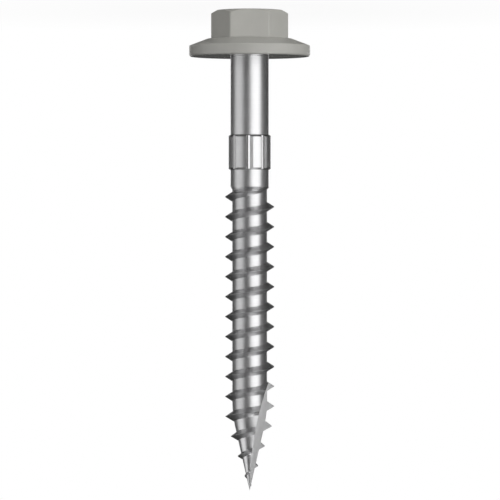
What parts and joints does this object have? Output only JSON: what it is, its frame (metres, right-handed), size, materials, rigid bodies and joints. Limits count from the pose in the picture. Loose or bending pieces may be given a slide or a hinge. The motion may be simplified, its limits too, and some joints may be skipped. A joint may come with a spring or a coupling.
{
  "type": "hex head timber screw",
  "caption": "Self-drilling timber screw with a flanged hex head, plain shank, ribbed collar, coarse thread and notched point.",
  "frame": {"origin": "centre of the head's end face, on the screw's axis", "axes": "+Z along the axis from the head to the tip; X through two corners of the hexagon; the notch at the point is cut on the -X, -Y side"},
  "size_m": [0.014, 0.014, 0.0553],
  "materials": {
    "screw_steel": "bright plated steel; the hexagon and flange are painted light grey"
  },
  "bodies": {
    "root": {"screw": "screw_steel"}
  },
  "joints": []
}
